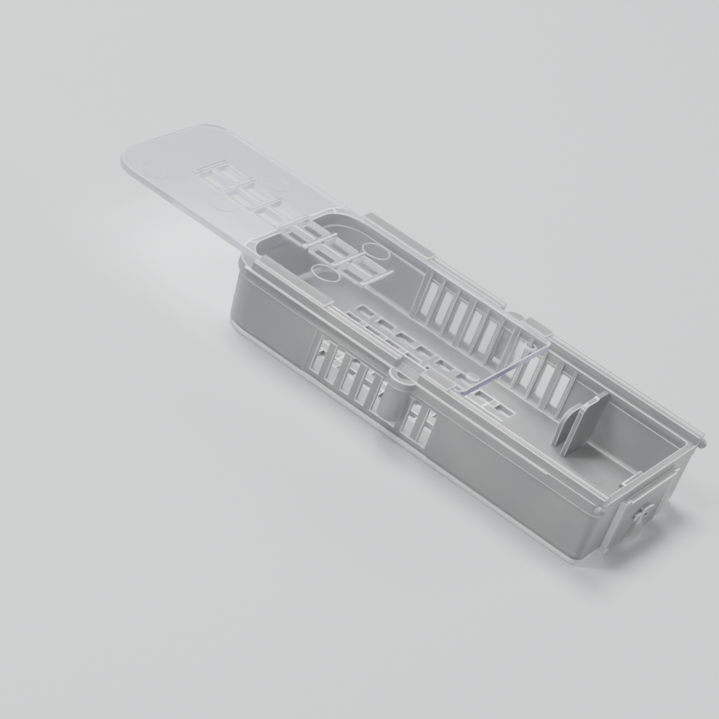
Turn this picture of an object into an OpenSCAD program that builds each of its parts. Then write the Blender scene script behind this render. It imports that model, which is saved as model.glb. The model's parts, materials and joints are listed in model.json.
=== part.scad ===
// Queen cage: a drafted open tray with slotted walls, a clear sliding lid that
// runs under lips on two side rails, and a small release shutter in the square end.
// +X points to the square (shutter) end, the lid opens towards -X, +Z is up and the
// origin is the middle of the tray's underside.

/* [Tray] */
// Length of the tray from the rounded end to the face of the shutter's guides
body_l = 80; // [70:1:100]
// Width over the two side rails
body_w = 36; // [32:0.5:46]
// Height of the rim plane that the lid slides on
rim_h = 12.7; // [11.5:0.1:18]
// Thickness of the walls
wall_t = 1.1; // [0.9:0.1:1.4]
// Thickness of the floor
floor_t = 1.2; // [0.8:0.1:1.8]
// Outer corner radius at the rounded end, at the rim
round_r = 6.5; // [5:0.5:9]
// Outer corner radius at the square end
square_r = 1.8; // [1:0.1:3]
// How far the side walls lean in at the bottom
side_draft = 0.2; // [0.1:0.05:0.6]
// How far the rounded end leans in at the bottom
round_draft = 1.3; // [0.5:0.1:2.5]
// Radius along the bottom edges
bottom_r = 1; // [0.8:0.1:2]
// How far the rim band stands out from the wall below it
band_out = 0.4; // [0.2:0.05:0.6]
// Height of the rim band
band_h = 2.2; // [1.5:0.1:3]
// Height of the inside ledge below the rim
ledge_drop = 2.9; // [2.4:0.1:3.6]
// Width of that ledge along the side walls
ledge_w = 0.3; // [0.1:0.05:0.5]

/* [Wall slots] */
// Distance between neighbouring slots
slot_pitch = 3.27; // [3:0.01:3.6]
// Width of a slot
slot_w = 1.75; // [1.4:0.05:2]
// Lower end of the slots
slot_z0 = 2.6; // [2.2:0.1:4]
// Upper end of the slots
slot_z1 = 9.4; // [7:0.1:9.5]
// Place along X of the first slot, nearest the rounded end
slot_x0 = -17.1; // [-19:0.1:-15]
// Number of slots in the near wall
near_slots = 8; // [5:1:8]
// Number of slots in the far wall
far_slots = 10; // [5:1:10]
// Depth of the shallow recess round the slots
panel_in = 0.25; // [0.1:0.05:0.4]
// Margin of the recess round the slots
panel_margin = 1.2; // [0.8:0.1:2]
// How far the bars between the slots stand into the tray
bar_in = 0.5; // [0.3:0.1:1]

/* [Floor holes] */
// Distance between neighbouring floor holes
hole_pitch = 4.5; // [4:0.1:5]
// Length of a floor hole
hole_l = 3.1; // [2:0.1:3.4]
// Width of a floor hole
hole_w = 2.4; // [1.6:0.1:3]
// Number of floor holes along the tray
hole_cols = 8; // [4:1:8]
// Number of floor holes across the tray
hole_rows = 5; // [3:1:5]
// Place along X of the middle of the hole pattern
hole_mid_x = -8.5; // [-10:0.5:-7]

/* [Candy compartment] */
// Place along X of the full-height baffle
baffle_x = 20.8; // [18:0.1:24]
// Thickness of the baffle and of the tongue
baffle_t = 0.9; // [0.7:0.1:1.3]
// How far the baffle reaches in from the far wall
baffle_reach = 9.2; // [6:0.1:11]
// Clear gap between the baffle and the tongue
tongue_gap = 1.7; // [1:0.1:3]
// Width of the low tongue beside the baffle
tongue_w = 7; // [4:0.5:8]
// Height of the tongue above the floor
tongue_h = 7.2; // [4:0.2:9]
// Distance from the far wall to the tongue
tongue_off = 1.8; // [1:0.1:3]
// Length of the raised sill in the far corner by the exit
sill_l = 6.2; // [4:0.1:8]
// Width of the sill, from the far wall
sill_w = 7; // [3:0.1:9]
// Height of the sill
sill_h = 0.9; // [0.5:0.1:1.5]

/* [Rails and lips] */
// Height of the rails above the rim plane
rail_h = 1.6; // [1.5:0.05:2.4]
// Side gap between the lid and each rail
lid_side_gap = 0.2; // [0.1:0.05:0.3]
// Gap above and below the lid
lid_gap = 0.1; // [0.05:0.05:0.1]
// How far the rim reaches in under each edge of the lid
rest_w = 0.45; // [0.3:0.05:0.8]
// Thickness of the rim's reach under the lid
rest_t = 0.5; // [0.4:0.05:0.8]
// How far the lips reach over the lid
lip_over = 0.7; // [0.5:0.1:1.2]
// Thickness of the lips
lip_t = 0.45; // [0.35:0.05:0.6]
// Length of the lips nearest the rounded end
round_lip_l = 15.2; // [10:0.1:18]
// Length of the lips beside the link posts
middle_lip_l = 5.4; // [4:0.1:8]
// Width of the groove along the top of a rail
groove_w = 0.6; // [0.4:0.1:0.8]
// Depth of that groove
groove_d = 0.45; // [0.2:0.05:0.8]
// Width of the rail on the lid's side of the groove
groove_off = 0.95; // [0.7:0.05:1.1]
// Radius of the small balls at the corners of the square end
nub_ball_r = 0.9; // [0.6:0.1:1.2]
// Length of the rail break at the side posts
rail_break = 4.8; // [4:0.1:6]

/* [Lid] */
// Length of the lid
lid_l = 78.4; // [68:0.1:98]
// Width of the lid
lid_w = 30.8; // [26:0.1:40]
// Thickness of the lid
lid_t = 1.4; // [1.2:0.05:1.6]
// Corner radius of the lid at its rounded end
lid_round_r = 6; // [4:0.5:8]
// Corner radius of the lid at its square end
lid_square_r = 1.2; // [0.6:0.1:2]
// How far the lid stands open at rest
lid_open = 30.4; // [0:0.1:60]
// Distance from the lid's rounded end to the first ladder rib
ladder_off = 11.4; // [9:0.1:16]
// Distance between ladder ribs
ladder_pitch = 6.37; // [6:0.01:7]
// Number of rows of windows in the ladder
ladder_rows = 6; // [4:1:6]
// Length of a ladder rib
ladder_w = 9.7; // [9:0.1:12]
// Thickness of a ladder rib
ladder_rib_t = 0.9; // [0.5:0.1:1]
// Height of the ladder ribs above the lid
ladder_rib_h = 0.5; // [0.3:0.1:0.8]
// Length of a window along the lid
window_l = 4.9; // [3:0.1:5]
// Width of a window across the lid
window_w = 3.6; // [2:0.1:3.9]
// Width of the middle bar between the windows
window_bar = 1.1; // [0.8:0.1:2]
// Radius of the grip nubs by the square end of the lid
nub_r = 1.2; // [0.8:0.1:1.5]
// Height of the grip nubs
nub_h = 0.4; // [0.2:0.1:0.6]
// Distance of each nub from the lid's centre line
nub_y = 9.5; // [7:0.1:11]

/* [Side link posts] */
// Place along X of both link posts
post_x = -1.1; // [-3:0.1:1]
// How far the middle of a link post stands out from the wall
post_out = 0.5; // [0.2:0.1:1.2]
// Outer radius of the link posts
post_r = 2.1; // [1.8:0.1:2.3]
// Radius of the flared socket mouth and of the peg's collar
flare_r = 2.6; // [2.4:0.1:2.9]
// Bore radius of the socket
socket_bore_r = 1.3; // [1:0.1:1.4]
// Lower end of the socket
socket_z0 = 4.2; // [3:0.1:6]
// Lower end of the peg
peg_z0 = 3.4; // [2:0.1:5]
// Height of the flared stretches
flare_h = 1.6; // [1:0.1:2.4]

/* [Release shutter] */
// Width of the shutter's raised panel
shutter_w = 16; // [13:0.5:20]
// Height of the shutter
shutter_h = 10.4; // [8.8:0.1:11.5]
// Lower end of the shutter
shutter_z0 = 0.5; // [0.3:0.1:1]
// Thickness of the shutter's raised panel
shutter_t = 1; // [0.9:0.1:1.4]
// Thickness of the shutter's side flanges
flange_t = 0.45; // [0.4:0.05:0.5]
// Width of the shutter's side flanges
flange_w = 0.7; // [0.5:0.1:1]
// Running gap between the shutter and its guides
shutter_gap = 0.1; // [0.05:0.01:0.15]
// Width of a guide bar beside the shutter
guide_w = 0.8; // [0.6:0.1:1.2]
// Width of the exit hole behind the shutter
exit_w = 6.4; // [5.5:0.1:9]
// Height of the exit hole behind the shutter
exit_h = 5.6; // [5:0.1:6.5]
// Width of the raised catch
catch_w = 3; // [2:0.1:4]
// Height of the raised catch
catch_h = 2.6; // [1.5:0.1:3]
// How far the catch stands out of the shutter
catch_out = 0.8; // [0.4:0.1:1.2]
// Length of the wing on either side of the catch
wing_l = 1.7; // [0.8:0.1:2.5]
// How far the thumb ledge stands out of the shutter
thumb_out = 1.1; // [0.8:0.1:2.2]
// Radius of the thumb ledge
thumb_r = 4.6; // [4:0.1:6]
// Thickness of the thumb ledge
thumb_t = 0.8; // [0.6:0.1:1.2]

/* [Hidden] */
$fn = 48;
cut = 0.01;
frost = [0.78, 0.80, 0.82, 0.6];
clear = [0.86, 0.88, 0.93, 0.35];

arc_steps = 10;
half_w = body_w / 2;
wall_y = half_w - band_out;
foot_in = bottom_r + 1;
round_x = -body_l / 2;
door_x = body_l / 2 - shutter_t - shutter_gap;
wall_end_x = round_x + round_r + 0.6;
wall_door_x = door_x - foot_in - 0.4;
ledge_z = rim_h - ledge_drop;
band_z = rim_h - band_h;
rail_top = rim_h + rail_h;
lid_z = rim_h + lid_gap;
lid_top = lid_z + lid_t;
rail_in_y = lid_w / 2 + lid_side_gap;
upper_y = wall_y - wall_t - side_draft * lean(ledge_z) + ledge_w;
rest_y = lid_w / 2 - rest_w;
rest_z = rim_h - rest_t;
lip_z = max(rail_top, lid_top + lid_gap);
rail_start = round_x + round_r - 1.1;
break_x0 = post_x - rail_break / 2;
break_x1 = post_x + rail_break / 2;
post_y = wall_y + post_out;
lid_square_x = door_x - 0.3 - lid_open;
lid_round_x = lid_square_x - lid_l;
shutter_in_x = door_x + shutter_gap;
panel_x0 = slot_x0 - slot_w / 2 - panel_margin;
bar_thick = slot_pitch - slot_w;

// Points of an arc about [cx, cy] from angle a0 to a1
function arc(cx, cy, r, a0, a1, n = arc_steps) =
    [for (i = [0:n]) [cx + r * cos(a0 + (a1 - a0) * i / n), cy + r * sin(a0 + (a1 - a0) * i / n)]];

// Tray outline: rounded corners of radius r at x0, corners of radius q at x1
function outline(x0, x1, hw, r, q) = concat(
    arc(x0 + r, -hw + r, r, 180, 270), arc(x1 - q, -hw + q, q, -90, 0),
    arc(x1 - q, hw - q, q, 0, 90), arc(x0 + r, hw - r, r, 90, 180));

// Lean of a wall at height z, from 0 at the rim band to its full draft at the floor
function lean(z) = max(0, (band_z - z) / band_z);

// Outline of the tray's outside at height z, drawn in by d
function body_outline(z, d) = outline(
    round_x + band_out + round_draft * lean(z) + d, door_x - d,
    wall_y - side_draft * lean(z) - d, max(round_r - d, 0.6), max(square_r - d, 0.3));

// Outline of the opening inside the rim band, hw wide to each side
function rim_opening(hw) = outline(
    round_x + wall_t, door_x - wall_t, hw, round_r - wall_t, square_r / 2);

// Inside face of a side wall at height z
function inner_y(z) = wall_y - wall_t - side_draft * lean(z);

module slab(z, h, points) {
    translate([0, 0, z]) linear_extrude(h) polygon(points);
}

module body_block() {
    hull() {
        for (a = [0:15:90]) {
            slab(bottom_r * (1 - cos(a)), cut, body_outline(0, bottom_r * (1 - sin(a))));
        }
        slab(band_z - cut, cut, body_outline(band_z, 0));
    }
    slab(band_z, band_h, outline(round_x, door_x, half_w, round_r, square_r));
}

module body_hollow() {
    hull() {
        slab(floor_t, cut, body_outline(floor_t, wall_t));
        slab(ledge_z, cut, body_outline(ledge_z, wall_t));
    }
    slab(ledge_z, rest_z - ledge_z, rim_opening(upper_y));
    slab(ledge_z, rim_h, rim_opening(rest_y));
}

module floor_outline() {
    polygon(body_outline(0, foot_in));
}

module body_ring() {
    difference() {
        body_block();
        body_hollow();
        translate([0, 0, -cut]) linear_extrude(floor_t + 2 * cut) floor_outline();
    }
}

module x_range(x0, x1, y0, y1) {
    translate([x0, y0, -1]) cube([x1 - x0, y1 - y0, rim_h + 2]);
}

// Slots in a side wall; side is -1 for the near wall and 1 for the far wall
module wall_slots(side, count) {
    for (i = [0:count - 1]) {
        translate([slot_x0 + i * slot_pitch - slot_w / 2, side > 0 ? 10 : -half_w - 1, slot_z0])
            cube([slot_w, half_w - 9, slot_z1 - slot_z0]);
    }
}

// Shallow recess in the outside of a side wall, round its slots
module slot_panel(side, count) {
    y = wall_y - side_draft / 2 - panel_in;
    translate([panel_x0, side > 0 ? y : -y - 3, slot_z0 - panel_margin])
        cube([count * slot_pitch - bar_thick + 2 * panel_margin, 3, slot_z1 - slot_z0 + 1.6 * panel_margin]);
}

module side_wall(side, count) {
    difference() {
        intersection() {
            body_ring();
            x_range(wall_end_x, wall_door_x, side > 0 ? 0 : -half_w - 1, side > 0 ? half_w + 1 : 0);
        }
        wall_slots(side, count);
        intersection() {
            slot_panel(side, count);
            translate([-body_l, -body_w, 0]) cube([2 * body_l, 2 * body_w, band_z]);
        }
    }
}

module floor_grid() {
    color(frost) difference() {
        linear_extrude(floor_t) floor_outline();
        for (i = [0:hole_cols - 1], j = [0:hole_rows - 1]) {
            translate([hole_mid_x + (i - (hole_cols - 1) / 2) * hole_pitch,
                       (j - (hole_rows - 1) / 2) * hole_pitch, floor_t / 2])
                cube([hole_l, hole_w, floor_t + 1], center = true);
        }
    }
}

module near_wall() {
    color(frost) side_wall(-1, near_slots);
}

module far_wall() {
    color(frost) side_wall(1, far_slots);
}

module round_end_wall() {
    color(frost) intersection() {
        body_ring();
        x_range(round_x - 1, wall_end_x, -half_w - 1, half_w + 1);
    }
}

module door_end_wall() {
    color(frost) difference() {
        intersection() {
            body_ring();
            x_range(wall_door_x, door_x + 1, -half_w - 1, half_w + 1);
        }
        translate([wall_door_x - 1, -exit_w / 2, floor_t + sill_h]) cube([10, exit_w, exit_h]);
    }
}

// Bars between the slots, standing into the tray from a side wall
module comb(side, count) {
    foot = inner_y(floor_t);
    top = inner_y(ledge_z);
    for (i = [0:count]) {
        wide = i % 3 == 0 || i == count - 1;
        w = wide ? bar_thick : bar_thick / 2;
        x = slot_x0 + (i - 0.5) * slot_pitch;
        translate([x - w / 2, 0, 0]) rotate([90, 0, 90]) linear_extrude(w) polygon([
            [side * foot, floor_t], [side * top, ledge_z], [side * upper_y, ledge_z],
            [side * upper_y, rest_z], [side * (top - bar_in), rest_z], [side * (foot - bar_in), floor_t]]);
    }
}

module near_comb() {
    color(frost) comb(-1, near_slots);
}

module far_comb() {
    color(frost) comb(1, far_slots);
}

module candy_baffle() {
    y1 = inner_y(floor_t);
    y0 = y1 - baffle_reach;
    color(frost) translate([baffle_x - baffle_t / 2, 0, 0]) rotate([90, 0, 90]) linear_extrude(baffle_t)
        polygon([[y1, floor_t], [y0, floor_t], [y0, rest_z - 1.1], [y0 + 1.4, rest_z - 0.3],
                 [y0 + 3.4, rest_z - 0.3], [y0 + 4.2, rest_z], [upper_y, rest_z],
                 [upper_y, ledge_z], [inner_y(ledge_z), ledge_z]]);
}

module baffle_tongue() {
    x = baffle_x - baffle_t - tongue_gap;
    y1 = inner_y(floor_t) - tongue_off;
    color(frost) translate([x - baffle_t / 2, 0, 0]) rotate([90, 0, 90]) linear_extrude(baffle_t)
        polygon(concat([[y1 - tongue_w + 0.8, floor_t], [y1, floor_t]],
            arc(y1 - 1.6, floor_t + tongue_h - 1.6, 1.6, 0, 90),
            arc(y1 - tongue_w + 2.6, floor_t + tongue_h - 2.6, 2.6, 90, 180)));
}

module exit_sill() {
    x0 = door_x - wall_t - sill_l;
    y0 = inner_y(floor_t) - sill_w;
    color(frost) intersection() {
        slab(floor_t, sill_h, body_outline(floor_t, wall_t));
        translate([x0, y0, floor_t]) cube([sill_l + 1, sill_w + 1, sill_h]);
    }
}

// Cross-section of a rail, drawn with the outside towards +Y
module rail_section() {
    difference() {
        translate([rail_in_y, rim_h]) square([half_w - rail_in_y, rail_h]);
        translate([rail_in_y + groove_off, rail_top - groove_d]) square([groove_w, 2 * groove_d]);
    }
}

module rail_run(x0, x1) {
    translate([x0, 0, 0]) rotate([90, 0, 90]) linear_extrude(x1 - x0) rail_section();
}

// Lip that reaches over the edge of the lid, from x0 to x1
module lid_lip(x0, x1) {
    translate([x0, rail_in_y - lip_over - lid_side_gap, lip_z])
        cube([x1 - x0, lip_over + lid_side_gap + groove_off, lip_t]);
}

module rail() {
    color(frost) {
        rail_run(rail_start, break_x0);
        rail_run(break_x1, door_x);
        lid_lip(rail_start, rail_start + round_lip_l);
        lid_lip(break_x1, break_x1 + middle_lip_l);
    }
}

module near_rail() {
    mirror([0, 1, 0]) rail();
}

module far_rail() {
    rail();
}

module link_socket() {
    color(frost) difference() {
        translate([post_x, -post_y, 0]) difference() {
            union() {
                translate([0, 0, socket_z0]) cylinder(r = post_r, h = rim_h - socket_z0);
                translate([0, 0, rim_h - flare_h]) cylinder(r = flare_r, h = flare_h);
            }
            translate([0, 0, socket_z0 + 1]) cylinder(r = socket_bore_r, h = rim_h);
        }
        body_block();
    }
}

module link_peg() {
    color(frost) difference() {
        translate([post_x, post_y, peg_z0]) rotate_extrude() polygon([
            [0, 0], [flare_r, 0], [flare_r, flare_h], [post_r, flare_h],
            [post_r, rim_h - peg_z0], [0, rim_h - peg_z0]]);
        body_block();
    }
}

module corner_nubs() {
    color(frost) for (side = [-1, 1]) {
        translate([door_x, side * (half_w + 0.1), rim_h - 0.5]) sphere(r = nub_ball_r);
    }
}

module shutter_guides() {
    inner = shutter_w / 2 + shutter_gap;
    outer = inner + flange_w;
    color(frost) for (side = [-1, 1]) {
        mirror([0, side > 0 ? 0 : 1, 0]) {
            translate([door_x, outer, shutter_z0]) cube([shutter_t, guide_w, shutter_h]);
            translate([door_x + flange_t + 2 * shutter_gap, inner, shutter_z0])
                cube([shutter_t - flange_t - 2 * shutter_gap, flange_w, shutter_h]);
        }
    }
}

module lid_outline() {
    polygon(outline(lid_round_x, lid_square_x, lid_w / 2, lid_round_r, lid_square_r));
}

module lid_windows() {
    for (i = [0:ladder_rows - 1], side = [-1, 1]) {
        translate([lid_round_x + ladder_off + (i + 0.5) * ladder_pitch,
                   side * (window_bar + window_w) / 2, lid_z + lid_t / 2])
            cube([window_l, window_w, lid_t + 1], center = true);
    }
}

module lid_plate() {
    color(clear) difference() {
        translate([0, 0, lid_z]) linear_extrude(lid_t) lid_outline();
        lid_windows();
    }
}

module lid_ladder() {
    color(clear) for (i = [0:ladder_rows]) {
        translate([lid_round_x + ladder_off + i * ladder_pitch - ladder_rib_t / 2, -ladder_w / 2, lid_top])
            cube([ladder_rib_t, ladder_w, ladder_rib_h]);
    }
}

module lid_grip_nubs() {
    color(clear) for (side = [-1, 1]) {
        translate([lid_square_x - nub_r - 0.3, side * nub_y, lid_top]) cylinder(r = nub_r, h = nub_h);
    }
}

module shutter_plate() {
    color(frost) translate([shutter_in_x, 0, 0]) {
        translate([0, -shutter_w / 2, shutter_z0]) cube([shutter_t - 2 * shutter_gap, shutter_w, shutter_h]);
        translate([0, -shutter_w / 2 - flange_w + shutter_gap, shutter_z0])
            cube([flange_t, shutter_w + 2 * flange_w - 2 * shutter_gap, shutter_h]);
        translate([0, -shutter_w / 2, shutter_z0 + shutter_h - 0.6]) cube([shutter_t + 0.2, shutter_w, 0.6]);
    }
}

// Raised catch in the middle of the shutter, with a small wing on either side
module shutter_catch() {
    x = shutter_in_x + shutter_t - 2 * shutter_gap;
    z = shutter_z0 + (shutter_h - catch_h) / 2;
    wing_h = catch_h / 2;
    color(frost) translate([x, 0, z]) {
        translate([0, -catch_w / 2, 0]) cube([catch_out, catch_w, catch_h]);
        for (side = [-1, 1]) {
            translate([0, side * (catch_w + wing_l) / 2 - wing_l / 2, (catch_h - wing_h) / 2])
                cube([catch_out - 0.2, wing_l, wing_h]);
        }
    }
}

module shutter_thumb_ledge() {
    x = shutter_in_x + shutter_t - 2 * shutter_gap;
    color(frost) intersection() {
        translate([x + thumb_out - thumb_r, 0, shutter_z0]) cylinder(r = thumb_r, h = thumb_t);
        translate([x, -thumb_r, shutter_z0]) cube([thumb_r, 2 * thumb_r, thumb_t]);
    }
}

floor_grid();
near_wall();
far_wall();
round_end_wall();
door_end_wall();
near_comb();
far_comb();
candy_baffle();
baffle_tongue();
exit_sill();
near_rail();
far_rail();
link_socket();
link_peg();
corner_nubs();
shutter_guides();
lid_plate();
lid_ladder();
lid_grip_nubs();
shutter_plate();
shutter_catch();
shutter_thumb_ledge();
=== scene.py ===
import json
import math
import bpy
from mathutils import Matrix, Vector


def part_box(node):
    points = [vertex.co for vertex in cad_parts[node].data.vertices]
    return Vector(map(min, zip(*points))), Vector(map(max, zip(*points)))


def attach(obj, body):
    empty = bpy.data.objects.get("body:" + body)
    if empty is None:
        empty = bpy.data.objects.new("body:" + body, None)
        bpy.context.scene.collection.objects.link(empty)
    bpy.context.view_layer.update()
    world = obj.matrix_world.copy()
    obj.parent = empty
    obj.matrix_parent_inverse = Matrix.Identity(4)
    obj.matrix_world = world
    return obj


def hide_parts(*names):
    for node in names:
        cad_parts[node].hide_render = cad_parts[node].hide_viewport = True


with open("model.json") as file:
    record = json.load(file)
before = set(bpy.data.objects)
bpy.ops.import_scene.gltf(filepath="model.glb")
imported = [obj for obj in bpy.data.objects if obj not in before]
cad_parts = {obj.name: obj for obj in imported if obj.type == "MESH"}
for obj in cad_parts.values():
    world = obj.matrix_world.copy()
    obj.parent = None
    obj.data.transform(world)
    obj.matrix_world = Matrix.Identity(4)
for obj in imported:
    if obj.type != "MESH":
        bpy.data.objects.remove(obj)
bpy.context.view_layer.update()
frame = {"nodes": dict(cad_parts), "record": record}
mm = 0.001
# in millimetres, like every size below
sink = 0.3  # how far a part reaches into the one it is moulded with
margin = 0.05  # a hair's breadth, between faces that mustn't coincide and round a place that is picked
print("frame loaded:", len(frame["nodes"]), "nodes")


def place(node):  # a CAD node's lowest and highest corners in millimetres
    low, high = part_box(node)
    return low / mm, high / mm


def clearSelection():
    if bpy.context.mode != "OBJECT":
        bpy.ops.object.mode_set(mode="OBJECT")
    bpy.ops.object.select_all(action="DESELECT")


def pickOnly(piece):
    clearSelection()
    piece.select_set(True)
    bpy.context.view_layer.objects.active = piece


def settle(piece):  # puts the object at the origin, with its place in its mesh
    pickOnly(piece)
    bpy.ops.object.transform_apply(location=True, rotation=True, scale=True)


def near(a, b, within=0.02):  # millimetres
    return abs(a - b) < within


def startPick(piece, kind):
    pickOnly(piece)
    bpy.ops.object.mode_set(mode="EDIT")
    bpy.ops.mesh.select_mode(type=kind)
    bpy.ops.mesh.select_all(action="DESELECT")
    bpy.ops.object.mode_set(mode="OBJECT")


def pickVerts(piece, test):
    startPick(piece, "VERT")
    for vert in piece.data.vertices:
        vert.select = test(vert.co / mm)
    bpy.ops.object.mode_set(mode="EDIT")


def pickEdges(piece, test):  # test gets an edge's two ends
    startPick(piece, "EDGE")
    points = [vert.co / mm for vert in piece.data.vertices]
    for edge in piece.data.edges:
        edge.select = test(points[edge.vertices[0]], points[edge.vertices[1]])
    bpy.ops.object.mode_set(mode="EDIT")


def roundEdges(piece, test, radius, steps):
    pickEdges(piece, test)
    bpy.ops.mesh.bevel(offset=radius * mm, offset_type="OFFSET", segments=steps, profile=0.5, affect="EDGES",
                       clamp_overlap=False)
    bpy.ops.object.mode_set(mode="OBJECT")


def shiftVerts(piece, test, move):
    pickVerts(piece, test)
    bpy.ops.transform.translate(value=[step * mm for step in move])
    bpy.ops.object.mode_set(mode="OBJECT")


def cutAlong(piece, spot, way, clear=True):  # cuts with a plane, and clears what lies behind it
    pickOnly(piece)
    bpy.ops.object.mode_set(mode="EDIT")
    bpy.ops.mesh.select_all(action="SELECT")
    bpy.ops.mesh.bisect(plane_co=[c * mm for c in spot], plane_no=way, use_fill=clear, clear_inner=clear)
    bpy.ops.object.mode_set(mode="OBJECT")


def isUpright(a, b):
    return near(a.x, b.x) and near(a.y, b.y)


def both(test):  # makes an edge's test from a point's
    return lambda a, b: test(a) and test(b)


def atHeight(z):
    return both(lambda p: near(p.z, z))


def addBlock(name, low, high, soft=0.0, steps=2):
    clearSelection()
    middle = [(a + b) / 2 * mm for a, b in zip(low, high)]
    bpy.ops.mesh.primitive_cube_add(size=1, location=middle, scale=[(b - a) * mm for a, b in zip(low, high)])
    piece = bpy.context.object
    piece.name = piece.data.name = name
    settle(piece)
    if soft:
        roundEdges(piece, lambda a, b: True, soft, steps)
    return piece


def addRound(name, centre, radius, height, soft=0.0, sides=40):
    clearSelection()
    x, y, z = centre
    bpy.ops.mesh.primitive_cylinder_add(vertices=sides, radius=radius * mm, depth=height * mm,
                                        location=(x * mm, y * mm, (z + height / 2) * mm))
    piece = bpy.context.object
    piece.name = piece.data.name = name
    settle(piece)
    if soft:
        roundEdges(piece, atHeight(z + height), soft, 3)
    return piece


def addTub(name, low, high, cornerA, cornerB, lean=(0, 0), foot=0.0, rim=0.0):
    # a block with round upright corners, cornerA at its low X end, drawn in at the bottom by lean
    tub = addBlock(name, low, high)
    middle = (low[0] + high[0]) / 2
    roundEdges(tub, lambda a, b: isUpright(a, b) and a.x < middle, cornerA, 12)
    roundEdges(tub, lambda a, b: isUpright(a, b) and a.x > middle, cornerB, 5)
    if any(lean):
        length, width = high[0] - low[0], high[1] - low[1]
        pickVerts(tub, lambda p: near(p.z, low[2]))
        bpy.ops.transform.resize(value=((length - lean[0]) / length, (width - 2 * lean[1]) / width, 1),
                                 center_override=(high[0] * mm, 0, low[2] * mm))
        bpy.ops.object.mode_set(mode="OBJECT")
    if foot:
        roundEdges(tub, atHeight(low[2]), foot, 6)
    if rim:
        roundEdges(tub, atHeight(high[2]), rim, 2)
    return tub


def joinUp(piece, tool, how):
    pickOnly(piece)
    change = piece.modifiers.new("shape", "BOOLEAN")
    change.operation = how
    change.solver = "EXACT"
    change.object = tool
    bpy.ops.object.modifier_apply(modifier=change.name)
    bpy.data.objects.remove(tool)


def carve(piece, *tools):
    for tool in tools:
        joinUp(piece, tool, "DIFFERENCE")


def fuse(piece, *parts):
    for part in parts:
        joinUp(piece, part, "UNION")


def repeat(piece, count, step):
    pickOnly(piece)
    row = piece.modifiers.new("row", "ARRAY")
    row.count = count
    row.use_relative_offset = False
    row.use_constant_offset = True
    row.constant_offset_displace = [s * mm for s in step]
    bpy.ops.object.modifier_apply(modifier=row.name)
    return piece


def mirrored(piece, name):  # a copy on the other side of the XZ plane
    clearSelection()
    twin = piece.copy()
    twin.data = piece.data.copy()
    twin.name = twin.data.name = name
    bpy.context.scene.collection.objects.link(twin)
    startPick(twin, "FACE")
    bpy.ops.object.mode_set(mode="EDIT")
    bpy.ops.mesh.select_all(action="SELECT")
    bpy.ops.transform.resize(value=(1, -1, 1), center_override=(0, 0, 0))
    bpy.ops.mesh.flip_normals()
    bpy.ops.object.mode_set(mode="OBJECT")
    return twin


def smooth(piece, angle=30):
    pickOnly(piece)
    bpy.ops.object.mode_set(mode="EDIT")
    bpy.ops.mesh.select_all(action="SELECT")
    bpy.ops.mesh.remove_doubles(threshold=0.000002)
    bpy.ops.object.mode_set(mode="OBJECT")
    bpy.ops.object.shade_smooth_by_angle(angle=math.radians(angle))
    # keeps the flat faces flat beside their soft edges
    level = piece.modifiers.new("level", "WEIGHTED_NORMAL")
    level.keep_sharp = True
    level.weight = 100
    bpy.ops.object.modifier_apply(modifier=level.name)


# places that the CAD frame gives, in millimetres
nearWall, farWall = place("near_wall"), place("far_wall")
rimZ = nearWall[1].z
halfWidth = farWall[1].y
roundX = place("round_end_wall")[0].x
doorX = place("door_end_wall")[1].x
floorZ = place("floor_grid")[1].z
combFar, combNear = place("far_comb"), place("near_comb")
railFar = place("far_rail")
lidLow, lidHigh = place("lid_plate")
ladderLow, ladderHigh = place("lid_ladder")
gripLow, gripHigh = place("lid_grip_nubs")
plateLow, plateHigh = place("shutter_plate")
catchLow, catchHigh = place("shutter_catch")
thumbLow, thumbHigh = place("shutter_thumb_ledge")
socketLow, socketHigh = place("link_socket")
pegLow = place("link_peg")[0]
baffleLow, baffleHigh = place("candy_baffle")
tongueLow, tongueHigh = place("baffle_tongue")
sillLow, sillHigh = place("exit_sill")
guideLow, guideHigh = place("shutter_guides")


trayShape = {
    "wall": 1.1, "bandOut": 0.4, "bandHeight": 2.2, "roundCorner": 6.5, "squareCorner": 1.8,
    "leanEnd": 1.3, "leanSide": 0.2, "footRadius": 0.95,
    "ledge": 9.8, "ledgeWidth": 0.3, "restHalf": 14.95, "restThick": 0.5, "insideFoot": 0.7,
    "footHighlightHeight": 1.35, "bandFoot": 0.15, "bandRim": 0.1, "mouthSoft": 0.12, "doorStep": 0.06,
    "skinRound": 3, "skinDoor": 0.8, "skinSide": 0.95,
}
beadShape = {
    "out": 0.14, "height": 0.38, "below": 0.03, "soft": 0.1,
    "fromRound": 4.2, "breakLow": -3.5, "breakHigh": 1.3, "fromDoor": 10.6,
}


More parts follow.
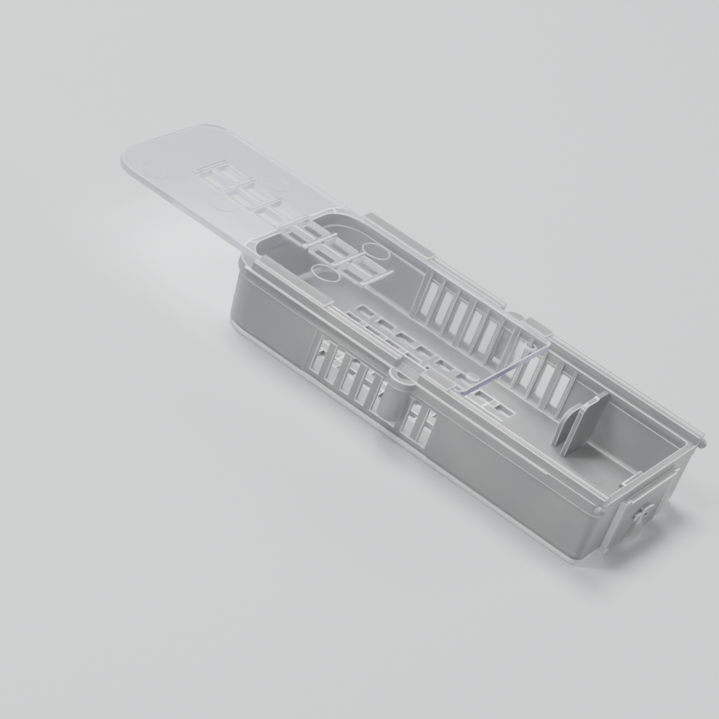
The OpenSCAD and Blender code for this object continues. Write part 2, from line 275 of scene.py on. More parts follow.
def makeShell(v):
    wallY = halfWidth - v["bandOut"]
    bandZ = rimZ - v["bandHeight"]
    shell = addTub("tray_moulding", (roundX + v["bandOut"], -wallY, 0), (doorX - margin, wallY, bandZ + 0.4),
                   v["roundCorner"], v["squareCorner"], (v["leanEnd"], v["leanSide"]), v["footRadius"])
    band = addTub("band", (roundX, -halfWidth, bandZ), (doorX, halfWidth, rimZ),
                  v["roundCorner"], v["squareCorner"], foot=v["bandFoot"], rim=v["bandRim"])
    fuse(shell, band)
    wall = v["wall"]
    inRound, inSquare = v["roundCorner"] - wall, v["squareCorner"] / 2
    leanLeft = v["leanEnd"] * (bandZ - v["ledge"]) / bandZ
    hollow = addTub("hollow", (roundX + v["bandOut"] + leanLeft + wall, -wallY + wall, floorZ),
                    (doorX - wall, wallY - wall, v["ledge"] + 0.1), inRound, inSquare,
                    (v["leanEnd"] - leanLeft, v["leanSide"]), v["insideFoot"])
    upperHalf = wallY - wall - v["leanSide"] * (bandZ - v["ledge"]) / bandZ + v["ledgeWidth"]
    upper = addTub("upper", (roundX + wall, -upperHalf, v["ledge"]),
                   (doorX - wall - v["doorStep"], upperHalf, rimZ - v["restThick"]), inRound, inSquare)
    mouth = addTub("mouth", (roundX + wall, -v["restHalf"], v["ledge"] - margin),
                   (doorX - wall - 2 * v["doorStep"], v["restHalf"], rimZ + 1), inRound, inSquare)
    carve(shell, hollow, upper, mouth)
    onMouth = both(lambda p: near(p.z, rimZ) and abs(p.y) < v["restHalf"] + margin)
    roundEdges(shell, onMouth, v["mouthSoft"], 2)
    print("tray shell:", len(shell.data.polygons), "faces")
    return shell


def addBeads(shell, v):  # the fine raised lines along the rim, broken at the side posts
    runs = ((roundX + v["fromRound"], v["breakLow"]), (v["breakHigh"], doorX - v["fromDoor"]))
    for x0, x1 in runs:
        bead = addBlock("bead", (x0, halfWidth - sink, rimZ - v["height"]),
                        (x1, halfWidth + v["out"], rimZ - v["below"]), v["soft"], 2)
        twin = mirrored(bead, "near bead")
        fuse(shell, bead, twin)


slotShape = {
    "pitch": 3.27, "width": 1.75, "low": 2.6, "high": 9.4, "nearCount": 8, "farCount": 10,
    "panelIn": 0.25, "panelMargin": 1.2, "softRim": 0.12,
}
holeShape = {
    "middle": -8.5, "pitch": 4.5, "length": 3.1, "width": 2.4, "columns": 8, "rows": 5, "softRim": 0.14,
}
exitShape = {"width": 6.4, "low": 2.1, "height": 5.6, "corner": 0.7}


def cutSlots(shell, v, side, count):
    comb = combNear if side < 0 else combFar
    firstX = comb[0].x + (v["pitch"] - v["width"])
    faceY = halfWidth - trayShape["bandOut"] - trayShape["leanSide"] / 2 - v["panelIn"]
    x0, x1 = firstX - v["panelMargin"], firstX + (count - 1) * v["pitch"] + v["width"] + v["panelMargin"]
    span = (faceY, faceY + 3) if side > 0 else (-faceY - 3, -faceY)
    panel = addTub("panel", (x0, span[0], v["low"] - v["panelMargin"]),
                   (x1, span[1], rimZ - trayShape["bandHeight"] - margin), 0.01, 0.01)
    deep = (10, halfWidth + 1) if side > 0 else (-halfWidth - 1, -10)
    slot = addBlock("slot", (firstX, deep[0], v["low"]), (firstX + v["width"], deep[1], v["high"]))
    repeat(slot, count, (v["pitch"], 0, 0))
    carve(shell, panel, slot)

    def onRim(p):
        along = firstX - margin < p.x < x1 - v["panelMargin"] + margin
        return near(p.y, side * faceY, margin) and along and v["low"] - margin < p.z < v["high"] + margin

    roundEdges(shell, both(onRim), v["softRim"], 2)


def cutHoles(shell, v):
    middleX = v["middle"]
    x0 = middleX - (v["columns"] - 1) / 2 * v["pitch"] - v["length"] / 2
    y0 = -(v["rows"] - 1) / 2 * v["pitch"] - v["width"] / 2
    hole = addBlock("hole", (x0, y0, -1), (x0 + v["length"], y0 + v["width"], floorZ + 0.4))
    repeat(hole, v["columns"], (v["pitch"], 0, 0))
    repeat(hole, v["rows"], (0, v["pitch"], 0))
    carve(shell, hole)
    for level in (0, floorZ):
        def inField(p):
            along = x0 - 0.1 < p.x < -x0 + 2 * middleX + 0.1
            return near(p.z, level) and along and abs(p.y) < -y0 + 0.1

        roundEdges(shell, both(inField), v["softRim"], 2)


def cutExit(shell, v):
    half = v["width"] / 2
    passage = addBlock("passage", (doorX - 6, -half, v["low"]), (doorX + 1, half, v["low"] + v["height"]))
    roundEdges(passage, lambda a, b: near(a.y, b.y) and near(a.z, b.z), v["corner"], 4)
    carve(shell, passage)


combShape = {"every": 3, "slack": 0.1, "sink": 0.25, "footSink": 0.2, "belowTop": 0.03, "soft": 0.14}


def addComb(shell, v, side, count):  # bars that lean with the wall and stand up to the rim
    thick = slotShape["pitch"] - slotShape["width"]
    low, high = combFar if side > 0 else combNear
    inTop = low.y if side > 0 else high.y
    foot = floorZ - v["footSink"]
    outTop = halfWidth - trayShape["bandOut"] - trayShape["wall"] + trayShape["ledgeWidth"] + v["sink"]
    for i in range(count + 1):
        wide = i % v["every"] == 0 or i == count - 1
        width = (thick if wide else thick / 2) - 2 * v["slack"]
        x = low.x + thick / 2 + i * slotShape["pitch"]
        ys = sorted((inTop, side * outTop))
        bar = addBlock("bar", (x - width / 2, ys[0], foot), (x + width / 2, ys[1], high.z - v["belowTop"]))
        shiftVerts(bar, lambda p: p.z > foot + 1 and near(p.y, inTop), (0, side * trayShape["leanSide"], 0))
        inner = abs(inTop) + trayShape["leanSide"] + margin
        roundEdges(bar, lambda a, b: near(a.x, b.x) and abs(a.y) < inner and abs(b.y) < inner, v["soft"], 3)
        fuse(shell, bar)


baffleShape = {
    "tipChamfer": 1.3, "step": 0.3, "stepAt": 4.2, "crown": 0.45, "soft": 0.14,
    "wallSink": 0.35, "crownSink": 0.2, "crownIn": 0.02, "crownDrop": 0.03,
}
tongueShape = {"farCorner": 1.6, "nearCorner": 2.6, "footLift": 0.8, "soft": 0.14}


def addBaffle(shell, v):
    x0, x1 = baffleLow.x, baffleHigh.x
    y0, y1 = baffleLow.y, baffleHigh.y
    top = baffleHigh.z
    lower, foot = top - v["step"], floorZ - sink
    plate = addBlock("plate", (x0, y0, foot), (x1, y1 + v["wallSink"], lower))
    roundEdges(plate, both(lambda p: near(p.y, y0) and near(p.z, lower)), v["tipChamfer"], 3)
    atFoot, inWall = atHeight(foot), both(lambda p: p.y > y1)
    roundEdges(plate, lambda a, b: not atFoot(a, b) and not inWall(a, b), v["soft"], 2)
    shoulder = addBlock("shoulder", (x0 + v["crownIn"], y0 + v["stepAt"], floorZ + 2),
                        (x1 - v["crownIn"], y1 + v["crownSink"], top - v["crownDrop"]))
    middle = (floorZ + top) / 2
    roundEdges(shoulder, both(lambda p: near(p.y, y0 + v["stepAt"]) and p.z > middle), v["crown"], 3)
    fuse(plate, shoulder)
    fuse(shell, plate)


def addTongue(shell, v):
    y0, y1, top = tongueLow.y, tongueHigh.y, tongueHigh.z
    foot = floorZ - sink
    tongue = addBlock("tongue", (tongueLow.x, y0, foot), (tongueHigh.x, y1, top))
    for y, radius in ((y1, v["farCorner"]), (y0, v["nearCorner"])):
        roundEdges(tongue, both(lambda p: near(p.y, y) and near(p.z, top)), radius, 8)
    shiftVerts(tongue, lambda p: near(p.z, foot) and near(p.y, y0), (0, v["footLift"], 0))
    roundEdges(tongue, lambda a, b: near(a.x, b.x) and (a.z > floorZ or b.z > floorZ), v["soft"], 2)
    fuse(shell, tongue)


railShape = {
    "outside": 17.84, "inside": 15.6, "top": 14.3, "lipLow": 14.7, "lipUnder": 14.28,
    "grooveIn": 0.95, "grooveWidth": 0.6, "grooveDeep": 0.45, "soft": 0.12,
    "roundLip": 15.2, "middleLip": 5.4, "breakHalf": 2.4, "lipBack": 0.12,
}


def addRails(shell, v):
    breakLow, breakHigh = socketMiddle.x - v["breakHalf"], socketMiddle.x + v["breakHalf"]
    start = railFar[0].x
    runs = ((start, breakLow), (breakHigh, doorX - 0.1))
    lips = ((start + 0.1, start + v["roundLip"]), (breakHigh + 0.1, breakHigh + v["middleLip"]))
    parts = []
    for x0, x1 in runs:
        run = addBlock("rail", (x0, v["inside"], rimZ - sink), (x1, v["outside"], v["top"]))
        groove = addBlock("groove", (x0 - 1, v["inside"] + v["grooveIn"], v["top"] - v["grooveDeep"]),
                          (x1 + 1, v["inside"] + v["grooveIn"] + v["grooveWidth"], v["top"] + 1))
        carve(run, groove)
        roundEdges(run, lambda a, b: a.z > rimZ and b.z > rimZ and near(a.y, b.y), v["soft"], 2)
        parts.append(run)
    for x0, x1 in lips:
        lip = addBlock("lip", (x0, v["lipLow"], v["lipUnder"]),
                       (x1, v["outside"] - v["lipBack"], railFar[1].z), v["soft"], 2)
        parts.append(lip)
    whole = parts[0]
    fuse(whole, *parts[1:])
    twin = mirrored(whole, "near rail")
    fuse(shell, whole, twin)


postShape = {
    "radius": 2.1, "flare": 2.6, "flareHeight": 1.6, "bore": 1.3, "boreFloor": 1.0, "soft": 0.2,
    "cutAt": 17.05, "belowTop": 0.04,
}
socketMiddle = Vector(((socketLow.x + socketHigh.x) / 2, socketLow.y + postShape["flare"], 0))


def flaredPost(name, x, y, low, high, flareLow, v):
    post = addRound(name, (x, y, low), v["radius"], high - low, v["soft"])
    collar = addRound("collar", (x, y, flareLow), v["flare"], v["flareHeight"], v["soft"])
    roundEdges(collar, atHeight(flareLow), v["soft"], 3)
    roundEdges(post, atHeight(low), v["soft"] * 2, 3)
    fuse(post, collar)
    return post


def addPosts(shell, v):
    top = socketHigh.z - v["belowTop"]
    x, y = socketMiddle.x, socketMiddle.y
    socket = flaredPost("socket", x, y, socketLow.z, top, top - v["flareHeight"], v)
    carve(socket, addRound("bore", (x, y, socketLow.z + v["boreFloor"]), v["bore"], rimZ))
    peg = flaredPost("peg", x, -y, pegLow.z, top, pegLow.z, v)
    for post, side in ((socket, -1), (peg, 1)):  # cuts away what would reach into the tray
        cutAlong(post, (0, side * v["cutAt"], 0), (0, side, 0))
    fuse(shell, socket, peg)


smallShape = {
    "nubRadius": 0.9, "nubDrop": 0.5, "nubOut": 0.1,
    "guideIn": 8.1, "guideOut": 8.8, "guideWidth": 0.8, "guideSink": 0.4, "hookAt": 0.65, "guideSoft": 0.1,
    "sillSoft": 0.5,
    "markAt": (27.9, 7.2), "markRadius": 1.5, "markHigh": 0.07, "markSink": 0.2, "markSoft": 0.05,
}


def addCornerNubs(shell, v):
    for side in (-1, 1):
        clearSelection()
        centre = (doorX, side * (halfWidth + v["nubOut"]), rimZ - v["nubDrop"])
        bpy.ops.mesh.primitive_uv_sphere_add(segments=24, ring_count=14, radius=v["nubRadius"] * mm,
                                             location=[c * mm for c in centre])
        nub = bpy.context.object
        settle(nub)
        fuse(shell, nub)


def addGuides(shell, v):
    for side in (-1, 1):
        upright = sorted((side * v["guideOut"], side * (v["guideOut"] + v["guideWidth"])))
        hook = sorted((side * v["guideIn"], side * (v["guideOut"] + v["guideWidth"] / 2)))
        post = addBlock("guide", (doorX - v["guideSink"], upright[0], guideLow.z),
                        (guideHigh.x, upright[1], guideHigh.z), v["guideSoft"], 2)
        turnIn = addBlock("hook", (doorX + v["hookAt"], hook[0], guideLow.z + margin),
                          (guideHigh.x - 0.02, hook[1], guideHigh.z - margin), v["guideSoft"] * 0.8, 2)
        fuse(post, turnIn)
        fuse(shell, post)


def addSill(shell, v):
    sill = addBlock("sill", (sillLow.x, sillLow.y, floorZ - sink),
                    (sillHigh.x + sink, sillHigh.y + sink, sillHigh.z))
    alongX = both(lambda p: near(p.x, sillLow.x) and p.z > floorZ)
    alongY = both(lambda p: near(p.y, sillLow.y) and p.z > floorZ)
    roundEdges(sill, lambda a, b: alongX(a, b) or alongY(a, b), v["sillSoft"], 4)
    mark = addRound("mark", (*v["markAt"], floorZ - v["markSink"]), v["markRadius"],
                    v["markSink"] + v["markHigh"], v["markSoft"], 36)
    fuse(shell, sill, mark)


lidShape = {
    "roundCorner": 6, "squareCorner": 1.2, "edge": 0.22,
    "rows": 6, "pitch": 6.37, "windowLength": 4.9, "windowWidth": 3.6, "bar": 1.1, "windowSoft": 0.12,
    "windowCorner": 0.3, "ribSoft": 0.4, "ringRadius": 2.5, "ringWire": 0.15, "ringSink": 0.02,
    "nubRadius": 1.2, "nubSoft": 0.3,
}
# moulding rings, along from the lid's rounded end and across from its middle
ringPlaces = ((7.8, -11.5), (20.7, -7.9), (20.7, 7.9), (44.1, -7.8), (44.1, 7.8))


def makeLid(v):
    lid = addTub("clear_lid", lidLow, lidHigh, v["roundCorner"], v["squareCorner"])

    def isFlat(a, b):
        return near(a.z, b.z) and (near(a.z, lidLow.z) or near(a.z, lidHigh.z))

    roundEdges(lid, isFlat, v["edge"], 3)
    firstRib = (ladderLow.x + ladderHigh.x - v["rows"] * v["pitch"]) / 2
    x0 = firstRib + (v["pitch"] - v["windowLength"]) / 2
    window = addBlock("window", (x0, v["bar"] / 2, lidLow.z - 1),
                      (x0 + v["windowLength"], v["bar"] / 2 + v["windowWidth"], lidHigh.z + 1))
    roundEdges(window, isUpright, v["windowCorner"], 3)
    repeat(window, v["rows"], (v["pitch"], 0, 0))
    repeat(window, 2, (0, -v["bar"] - v["windowWidth"], 0))
    carve(lid, window)
    reach = v["bar"] / 2 + v["windowWidth"] + 0.1
    onWindow = both(lambda p: abs(p.y) < reach and x0 - 0.1 < p.x < ladderHigh.x)
    roundEdges(lid, lambda a, b: isFlat(a, b) and onWindow(a, b), v["windowSoft"], 2)
    rib = addBlock("rib", (ladderLow.x, ladderLow.y, lidHigh.z - sink),
                   (firstRib * 2 - ladderLow.x, ladderHigh.y, ladderHigh.z))
    roundEdges(rib, both(lambda p: p.z > lidHigh.z), v["ribSoft"], 4)
    repeat(rib, v["rows"] + 1, (v["pitch"], 0, 0))
    fuse(lid, rib)
    for along, across in ringPlaces:
        clearSelection()
        centre = (lidLow.x + along, across, lidHigh.z - v["ringSink"])
        bpy.ops.mesh.primitive_torus_add(location=[c * mm for c in centre],
                                         major_radius=v["ringRadius"] * mm, minor_radius=v["ringWire"] * mm,
                                         major_segments=48, minor_segments=10)
        ring = bpy.context.object
        settle(ring)
        fuse(lid, ring)
    for side in (-1, 1):
        foot = ((gripLow.x + gripHigh.x) / 2, side * (gripHigh.y - v["nubRadius"]), lidHigh.z - sink)
        nub = addRound("nub", foot, v["nubRadius"], sink + gripHigh.z - lidHigh.z, v["nubSoft"])
        fuse(lid, nub)
    print("lid:", len(lid.data.polygons), "faces")
    return lid


shutterShape = {
    "thick": 0.8, "flange": 0.45, "panelHalf": 8.0, "soft": 0.12, "ridge": 0.6, "gusset": 1.1,
    "catchHalf": 1.5, "catchSoft": 0.22, "wingFrom": 1.3, "wingDrop": 0.7, "wingHigh": 1.1, "notchHalf": 0.7,
    "notchHigh": 0.6, "domeHalf": 3.0, "domeHigh": 3.1,
    "plateDrop": 0.3, "flangeSoft": 0.08, "ridgeSoft": 0.14,
    "gussetIn": 0.3, "gussetThick": 0.5, "gussetSink": 0.1, "faceSink": 0.2, "wingBack": 0.2,
}


def addGusset(face, v):  # the small web under one end of the ridge
    y1 = v["panelHalf"] - v["gussetIn"]
    top = plateHigh.z - v["ridge"] + v["gussetSink"]
    low, outer = top - v["gusset"], plateHigh.x - margin
    web = addBlock("gusset", (face - v["faceSink"], y1 - v["gussetThick"], low), (outer, y1, top))
    shiftVerts(web, lambda p: near(p.z, low) and near(p.x, outer), (face - plateHigh.x, 0, 0))
    return web


def addDome(face, v):  # the thumb bulge at the foot of the shutter
    clearSelection()
    foot = thumbLow.z + 0.02
    size = (thumbHigh.x - face, v["domeHalf"], v["domeHigh"])
    bpy.ops.mesh.primitive_uv_sphere_add(segments=48, ring_count=24, radius=1 * mm,
                                         location=(face * mm, 0, foot * mm), scale=size)
    dome = bpy.context.object
    settle(dome)
    cutAlong(dome, (0, 0, foot), (0, 0, 1))
    cutAlong(dome, (face - sink, 0, 0), (1, 0, 0))
    return dome


def addCatch(plate, face, v):  # a raised block with a wing on either side and a slot in its face
    low = catchLow.z
    wingLow = low + v["wingDrop"]
    for side in (-1, 1):
        across = sorted((side * v["wingFrom"], side * catchHigh.y))
        wing = addBlock("wing", (face - v["faceSink"], across[0], wingLow),
                        (catchHigh.x - v["wingBack"], across[1], wingLow + v["wingHigh"]), v["catchSoft"], 3)
        fuse(plate, wing)
    catch = addBlock("catch", (face - v["faceSink"], -v["catchHalf"], low),
                     (catchHigh.x, v["catchHalf"], catchHigh.z), v["catchSoft"], 3)
    notch = addBlock("notch", (face + 0.1, -v["notchHalf"], wingLow),
                     (catchHigh.x + 1, v["notchHalf"], wingLow + v["notchHigh"]))
    carve(catch, notch)
    fuse(plate, catch)


def makeShutter(v):
    x0 = plateLow.x
    face = x0 + v["thick"]
    half = v["panelHalf"]
    plate = addBlock("release_shutter", (x0, -half, plateLow.z), (face, half, plateHigh.z - v["plateDrop"]),
                     v["soft"], 2)
    flange = addBlock("flange", (x0 + margin, plateLow.y, plateLow.z + 0.1),
                      (x0 + v["flange"], plateHigh.y, plateHigh.z - 0.1), v["flangeSoft"], 2)
    ridge = addBlock("ridge", (x0 + 0.03, -half + margin, plateHigh.z - v["ridge"]),
                     (plateHigh.x, half - margin, plateHigh.z), v["ridgeSoft"], 3)
    fuse(plate, flange, ridge, addGusset(face, v))
    addCatch(plate, face, v)
    fuse(plate, addDome(face, v))
    print("shutter:", len(plate.data.polygons), "faces")
    return plate


def newMaterial(name):
    made = bpy.data.materials.new(name)
    made.use_nodes = True
    nodes = made.node_tree.nodes
    shader = nodes["Principled BSDF"]
    return made, nodes, made.node_tree.links, shader


def noise(nodes, links, scale, detail=3.0, stretch=(1, 1, 1)):
    where = nodes.new("ShaderNodeTexCoord")
    turn = nodes.new("ShaderNodeMapping")
    turn.inputs["Scale"].default_value = stretch
    grain = nodes.new("ShaderNodeTexNoise")
    grain.inputs["Scale"].default_value = scale
    grain.inputs["Detail"].default_value = detail
    links.new(where.outputs["Object"], turn.inputs["Vector"])
    links.new(turn.outputs["Vector"], grain.inputs["Vector"])
    return grain


def spread(nodes, links, source, low, high):  # noise mapped to a range of values
    ranged = nodes.new("ShaderNodeMapRange")
    ranged.inputs["From Min"].default_value = 0.3
    ranged.inputs["From Max"].default_value = 0.7
    ranged.inputs["To Min"].default_value = low
    ranged.inputs["To Max"].default_value = high
    links.new(source.outputs[0], ranged.inputs["Value"])
    return ranged


def tint(nodes, links, source, first, second):
    ramp = nodes.new("ShaderNodeValToRGB")
    ramp.color_ramp.elements[0].position = 0.35
    ramp.color_ramp.elements[0].color = (*first, 1)
    ramp.color_ramp.elements[1].position = 0.68
    ramp.color_ramp.elements[1].color = (*second, 1)
    links.new(source.outputs[0], ramp.inputs["Fac"])
    return ramp


def addBump(nodes, links, shader, grain, strength, depth):
    bump = nodes.new("ShaderNodeBump")
    bump.inputs["Strength"].default_value = strength
    bump.inputs["Distance"].default_value = depth
    links.new(grain.outputs[0], bump.inputs["Height"])
    links.new(bump.outputs[0], shader.inputs["Normal"])


def letLampsThrough(made, share):  # lamp light passes the plastic as it passes a thin milky wall
    nodes, links = made.node_tree.nodes, made.node_tree.links
    shader, out = nodes["Principled BSDF"], nodes["Material Output"]
    ray = nodes.new("ShaderNodeLightPath")
    part = nodes.new("ShaderNodeMath")
    part.operation = "MULTIPLY"
    part.inputs[1].default_value = share
    through = nodes.new("ShaderNodeBsdfTransparent")
    both = nodes.new("ShaderNodeMixShader")
    links.new(ray.outputs["Is Shadow Ray"], part.inputs[0])
    links.new(part.outputs[0], both.inputs["Fac"])
    links.new(shader.outputs[0], both.inputs[1])
    links.new(through.outputs[0], both.inputs[2])
    links.new(both.outputs[0], out.inputs["Surface"])


frostLook = {
    "transmission": 0.5, "roughLow": 0.33, "roughHigh": 0.45, "ior": 1.49, "lampShare": 0.4,
    "pale": (0.42, 0.425, 0.415), "cool": (0.34, 0.35, 0.36),
    "cloud": 90, "grain": 2600, "bump": 0.12, "bumpDepth": 0.0001,
}
# painted highlight: a whiter, less clear frosted plastic for the narrow edge strips, the ledge, the outer
# foot and the guide sides
frostPaintedHighlightLook = {
    **frostLook, "transmission": 0.12, "roughLow": 0.2, "roughHigh": 0.3,
    "pale": (0.95, 0.95, 0.93), "cool": (0.88, 0.89, 0.89),
}
clearLook = {
    "transmission": 1.0, "roughLow": 0.015, "roughHigh": 0.06, "ior": 1.58, "lampShare": 0.8,
    "pale": (0.93, 0.93, 0.97), "smear": 60, "smearStretch": (1, 2.5, 1),
    "flow": 140, "flowStretch": (0.5, 1, 1), "bump": 0.05, "bumpDepth": 0.0002,
}
# painted highlight: bright and dim streaks, lighter than the clear plate, on the lid's side faces
lidPaintedHighlightLook = {
    "roughness": 0.16, "transmission": 0.35, "ior": 1.58, "lampShare": 0.5,
    "bright": (0.98, 0.98, 1.0), "dim": (0.70, 0.69, 0.80),
    "scale": 420, "detail": 2, "stretch": (0.25, 1, 6),
}
lilacLook = {
    **lidPaintedHighlightLook, "roughness": 0.12,
    "bright": (0.60, 0.56, 0.82), "dim": (0.46, 0.42, 0.72),
    "scale": 260, "detail": 3, "stretch": (1, 1, 1),
}


def frostedPlastic(name, v):
    made, nodes, links, shader = newMaterial(name)
    cloud = noise(nodes, links, v["cloud"], 4)
    grain = noise(nodes, links, v["grain"], 2)
    colour = tint(nodes, links, cloud, v["cool"], v["pale"])
    links.new(colour.outputs[0], shader.inputs["Base Color"])
    rough = spread(nodes, links, cloud, v["roughHigh"], v["roughLow"])
    links.new(rough.outputs[0], shader.inputs["Roughness"])
    shader.inputs["Transmission Weight"].default_value = v["transmission"]
    shader.inputs["IOR"].default_value = v["ior"]
    addBump(nodes, links, shader, grain, v["bump"], v["bumpDepth"])
    letLampsThrough(made, v["lampShare"])
    return made


def clearPlastic(name, v):
    made, nodes, links, shader = newMaterial(name)
    shader.inputs["Base Color"].default_value = (*v["pale"], 1)
    smear = noise(nodes, links, v["smear"], 5, v["smearStretch"])
    rough = spread(nodes, links, smear, v["roughLow"], v["roughHigh"])
    links.new(rough.outputs[0], shader.inputs["Roughness"])
    shader.inputs["Transmission Weight"].default_value = v["transmission"]
    shader.inputs["IOR"].default_value = v["ior"]
    flow = noise(nodes, links, v["flow"], 1, v["flowStretch"])
    addBump(nodes, links, shader, flow, v["bump"], v["bumpDepth"])
    letLampsThrough(made, v["lampShare"])
    return made


def edgePlastic(name, v):  # bright and dim streaks on the clear plate's edge faces: painted highlight streaks on the lid's sides, the plate's own lilac tint on its end
    made, nodes, links, shader = newMaterial(name)
    streak = noise(nodes, links, v["scale"], v["detail"], v["stretch"])
    colour = tint(nodes, links, streak, v["dim"], v["bright"])
    links.new(colour.outputs[0], shader.inputs["Base Color"])
    shader.inputs["Roughness"].default_value = v["roughness"]
    shader.inputs["Transmission Weight"].default_value = v["transmission"]
    shader.inputs["IOR"].default_value = v["ior"]
    letLampsThrough(made, v["lampShare"])
    return made


def paint(piece, material, test):  # gives another material to the faces that pass the test
    slots = piece.data.materials
    if material.name not in slots:
        slots.append(material)
    index = slots.find(material.name)
    for face in piece.data.polygons:
        if test(face.center / mm, face.normal):
            face.material_index = index


def dress(piece, material, paintedHighlightMaterial=None, strip=0.0):
    # the narrow strips of the soft edges take the second material, a painted highlight: whiter, less clear
    # plastic that stands in for the light the edges gather
    piece.data.materials.clear()
    piece.data.materials.append(material)
    if paintedHighlightMaterial:
        piece.data.materials.append(paintedHighlightMaterial)
    verts = piece.data.vertices
    for face in piece.data.polygons:
        corners = [verts[i].co for i in face.vertices]
        longest = max((a - b).length for a, b in zip(corners, corners[1:] + corners[:1]))
        narrow = longest > 0 and face.area / longest < strip * mm
        face.material_index = 1 if paintedHighlightMaterial and narrow else 0


def isOutside(p):  # on the tray's outer skin
    v = trayShape
    atEnd = p.x < roundX + v["skinRound"] or p.x > doorX - v["skinDoor"]
    return atEnd or abs(p.y) > halfWidth - v["bandOut"] - v["skinSide"]


trayPaint = {
    "strip": 0.26, "nubReach": 1, "nubMiddle": 0.5, "footLow": 0.03, "footHigh": 0.75,
    "guideOut": 0.1, "guideBelow": 1.5,
}
lidPaint = {"upright": 0.97, "lilacReach": 0.3}
shutterPaint = {"strip": 0.2, "bulgeHalf": 3.6, "bulgeLow": 0.2, "bulgeDrop": 0.1}


def dressTray(shell, v):
    band = trayShape["footHighlightHeight"]
    dress(shell, frosted, frostedPaintedHighlight, v["strip"])

    def onNub(p):
        corner = p.x > doorX - v["nubReach"] and abs(p.y) > halfWidth - v["nubReach"]
        return corner and abs(p.z - rimZ + v["nubMiddle"]) < v["nubReach"]

    def onInnerFoot(p):
        return floorZ + v["footLow"] < p.z < floorZ + v["footHigh"] and not isOutside(p)

    def onGuide(p):
        return p.x > doorX + v["guideOut"] and p.z < rimZ - v["guideBelow"]

    paint(shell, frosted, lambda p, n: onNub(p))
    # painted highlight on the outer skin below the foot height, lightening the foot beside the floor where
    # it would lie in shade
    cutAlong(shell, (0, 0, band), (0, 0, 1), clear=False)
    paint(shell, frostedPaintedHighlight, lambda p, n: p.z < band and isOutside(p) and n.z > -0.95)
    paint(shell, frosted, lambda p, n: onInnerFoot(p))
    # painted highlight along the ledge's top faces, a bright line
    paint(shell, frostedPaintedHighlight, lambda p, n: near(p.z, trayShape["ledge"], margin) and n.z > 0.9)
    # painted light on the guides' side faces, which would otherwise lie in shade
    paint(shell, frostedPaintedHighlight, lambda p, n: onGuide(p) and abs(n.y) > 0.5)


def dressLid(lid, v):
    dress(lid, clearPlastic("clear polystyrene", clearLook))
    # the lid's side faces get painted highlight streaks; the end face gets the plate's lilac tint
    paint(lid, edgePlastic("lid painted highlight", lidPaintedHighlightLook), lambda p, n: abs(n.z) < v["upright"])
    paint(lid, edgePlastic("lilac edge", lilacLook),
          lambda p, n: p.x > lidHigh.x - v["lilacReach"] and n.x > 0.3)


def dressShutter(shutter, v):
    # the shutter's narrow edge strips get the painted highlight; the thumb bulge keeps the plain frosted
    # plastic
    dress(shutter, frosted, frostedPaintedHighlight, v["strip"])

    def onBulge(p):
        return abs(p.y) < v["bulgeHalf"] and plateLow.z + v["bulgeLow"] < p.z < catchLow.z - v["bulgeDrop"]

    paint(shutter, frosted, lambda p, n: onBulge(p))


# the tray
shell = makeShell(trayShape)
cutSlots(shell, slotShape, -1, slotShape["nearCount"])
cutSlots(shell, slotShape, 1, slotShape["farCount"])
cutHoles(shell, holeShape)
cutExit(shell, exitShape)
print("tray openings:", len(shell.data.polygons), "faces")
addComb(shell, combShape, -1, slotShape["nearCount"])
addComb(shell, combShape, 1, slotShape["farCount"])
addBaffle(shell, baffleShape)
addTongue(shell, tongueShape)
addRails(shell, railShape)
addPosts(shell, postShape)
addBeads(shell, beadShape)
addCornerNubs(shell, smallShape)
addGuides(shell, smallShape)
addSill(shell, smallShape)
smooth(shell)
frosted = frostedPlastic("frosted polypropylene", frostLook)
# the painted highlight material, for edges and faces that are to look lit
frostedPaintedHighlight = frostedPlastic("frosted polypropylene painted highlight", frostPaintedHighlightLook)
dressTray(shell, trayPaint)
print("tray:", len(shell.data.polygons), "faces")

# the lid
lid = makeLid(lidShape)
smooth(lid)
dressLid(lid, lidPaint)

# the shutter
shutter = makeShutter(shutterShape)
smooth(shutter)
dressShutter(shutter, shutterPaint)

for piece, body, slotName in ((shell, "tray", "frosted_tray"), (lid, "lid", "clear_lid"),
                              (shutter, "shutter", "frosted_shutter")):
    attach(piece, body)
    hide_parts(*frame["record"]["behaviour"]["bodies"][body])


# floor, lights and camera
studio = {
    "floor": (0.52, 0.53, 0.54), "paler": 1.03, "floorRough": 0.7, "world": 0.2, "sky": (0.92, 0.95, 1),
}
view = {
    "lens": 124, "sensor": 36, "clip": (0.01, 20),
    "spot": (136.6, -340.5, 216.3), "ahead": (-0.357, 0.787, -0.503), "upward": (-0.530, 0.273, 0.803),
}


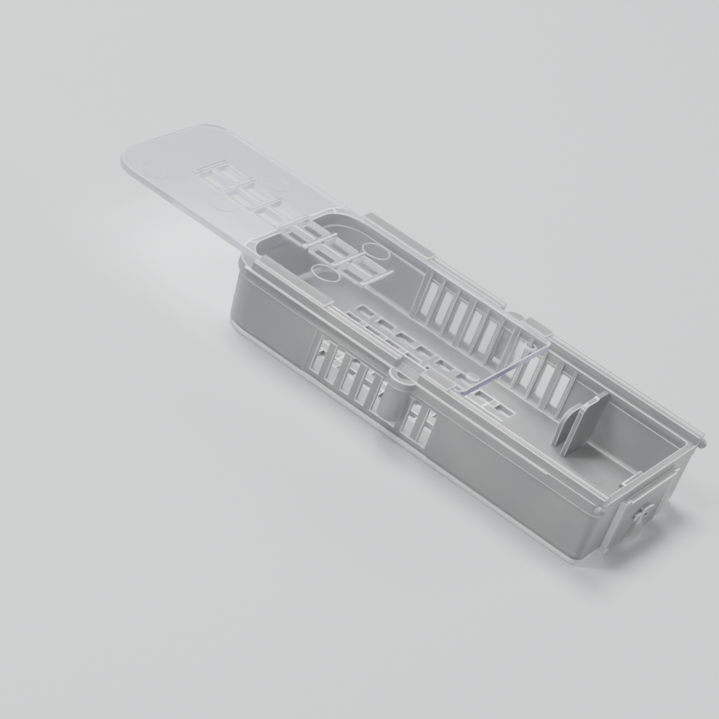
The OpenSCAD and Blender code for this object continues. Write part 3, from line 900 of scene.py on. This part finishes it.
def addFloor(v):
    clearSelection()
    bpy.ops.mesh.primitive_plane_add(size=6, location=(0, 0, 0))
    floor = bpy.context.object
    floor.name = "studio_floor"
    made, nodes, links, shader = newMaterial("pale floor")
    cloud = noise(nodes, links, 3, 2)
    paler = tuple(c * v["paler"] for c in v["floor"])
    links.new(tint(nodes, links, cloud, v["floor"], paler).outputs[0], shader.inputs["Base Color"])
    shader.inputs["Roughness"].default_value = v["floorRough"]
    floor.data.materials.append(made)


def addLamp(name, spot, aim, size, power):
    light = bpy.data.lights.new(name, "AREA")
    light.shape = "RECTANGLE"
    light.size, light.size_y = size
    light.energy = power
    lamp = bpy.data.objects.new(name, light)
    bpy.context.scene.collection.objects.link(lamp)
    lamp.location = spot
    lamp.rotation_euler = (Vector(aim) - Vector(spot)).to_track_quat("-Z", "Y").to_euler()


def addCamera(v):
    lens = bpy.data.cameras.new("camera")
    lens.lens = v["lens"]
    lens.sensor_width = v["sensor"]
    camera = bpy.data.objects.new("camera", lens)
    bpy.context.scene.collection.objects.link(camera)
    spot = Vector(v["spot"]) * mm
    ahead = Vector(v["ahead"]).normalized()
    right = ahead.cross(Vector(v["upward"])).normalized()
    upward = right.cross(ahead)
    turn = Matrix((right, upward, -ahead)).transposed().to_4x4()
    camera.matrix_world = Matrix.Translation(spot) @ turn
    lens.clip_start, lens.clip_end = v["clip"]
    bpy.context.scene.camera = camera


def addSky(v):
    world = bpy.data.worlds.new("studio")
    world.use_nodes = True
    sky = world.node_tree.nodes["Background"]
    sky.inputs["Color"].default_value = (*v["sky"], 1)
    sky.inputs["Strength"].default_value = v["world"]
    bpy.context.scene.world = world


addFloor(studio)
addSky(studio)
addLamp("overhead", (-0.3, 0.14, 0.74), (0, 0, 0), (0.36, 0.3), 11)
addLamp("near edge", (-0.26, -0.39, 0.62), (0, 0, 0.01), (0.12, 0.4), 5)
addLamp("door edge", (0.42, 0.62, 0.28), (0, 0, 0.01), (0.4, 0.18), 3.5)
addCamera(view)
print("studio ready")
